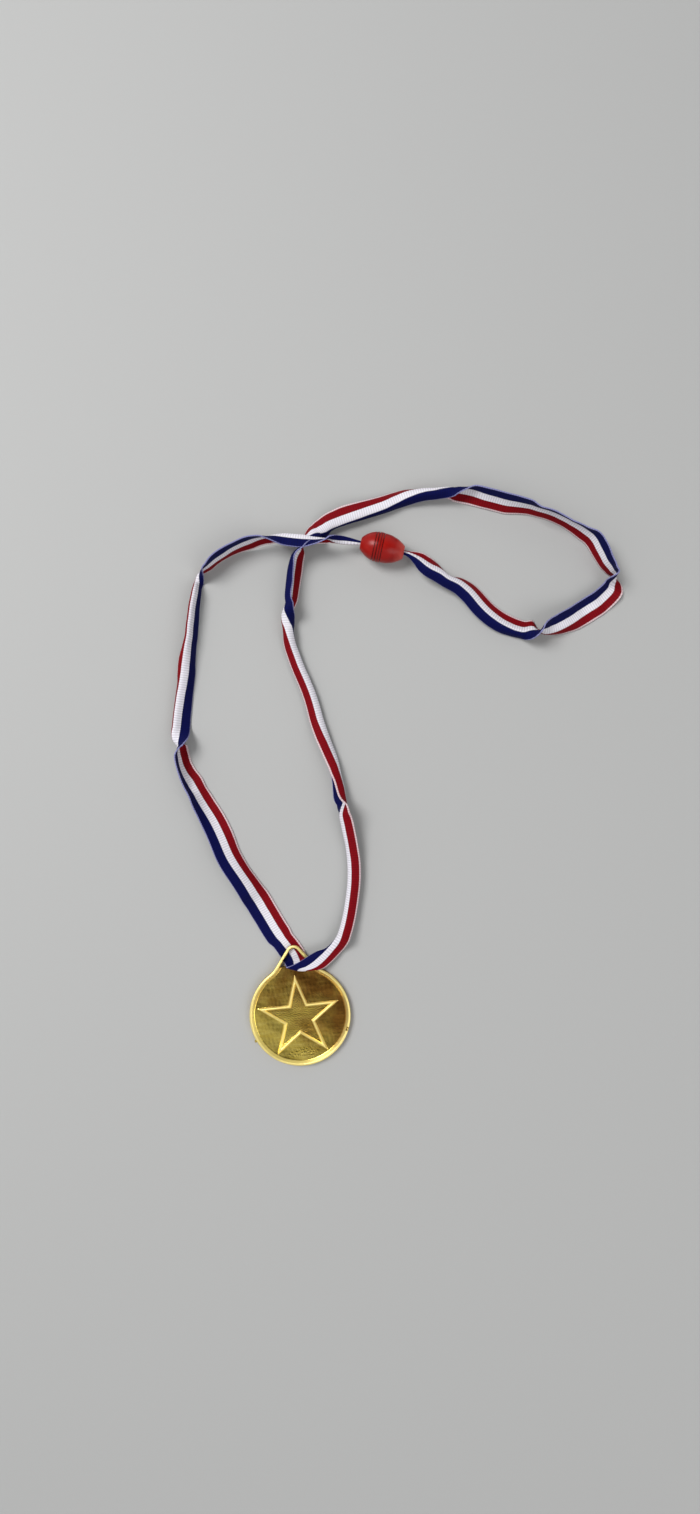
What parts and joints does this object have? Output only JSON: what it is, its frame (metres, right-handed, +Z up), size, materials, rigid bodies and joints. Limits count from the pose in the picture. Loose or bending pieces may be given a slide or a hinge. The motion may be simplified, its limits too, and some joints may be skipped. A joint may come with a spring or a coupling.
{
  "type": "sports finisher medal",
  "caption": "Round gold plastic medal with a raised star outline, a triangular ribbon loop, a striped woven neck ribbon and a breakaway barrel clasp.",
  "frame": {"origin": "centre of the medal's flat back, which lies on the surface z = 0", "axes": "+Z is up, out of the medal's star face; +Y runs from the medal's centre to its ribbon loop; the ribbon lies on the same surface along +Y"},
  "size_m": [0.1804, 0.2154, 0.0109],
  "materials": {
    "gold_plastic": "vacuum-metallised gold, glossy",
    "red_plastic": "moulded, satin gloss",
    "ribbon": "ribbed woven polyester, navy, white and red lengthwise stripes"
  },
  "bodies": {
    "ribbon": {"ribbon_knot_left": "ribbon", "ribbon_left_lead": "ribbon", "ribbon_left_strand": "ribbon", "ribbon_loop_fold": "ribbon", "ribbon_right_strand": "ribbon", "ribbon_upper_loop": "ribbon", "ribbon_right_lead": "ribbon"},
    "medal": {"medal_body": "gold_plastic"},
    "clasp_socket": {"clasp_socket": "red_plastic"},
    "ribbon_end": {"ribbon_knot_right": "ribbon"},
    "clasp_stud": {"clasp_stud": "red_plastic"}
  },
  "joints": [
    {"name": "medal_swing", "type": "hinge", "parent": "ribbon", "child": "medal", "pos_m": [0, 0.0251, 0.0013], "axis": [-1, 0, 0], "range_deg": [0, 120], "deforming": ["ribbon_loop_fold"]},
    {"name": "socket_swivel", "type": "hinge", "parent": "ribbon", "child": "clasp_socket", "pos_m": [0.0492, 0.1706, 0.00545], "axis": [0.9466, -0.3223, 0], "continuous": true},
    {"name": "clasp_pull", "type": "slide", "parent": "ribbon", "child": "ribbon_end", "axis": [0.9466, -0.3223, 0], "range_m": [0, 0.012], "deforming": ["ribbon_right_lead"]},
    {"name": "stud_swivel", "type": "hinge", "parent": "ribbon_end", "child": "clasp_stud", "pos_m": [0.0492, 0.1706, 0.00545], "axis": [0.9466, -0.3223, 0], "continuous": true}
  ]
}
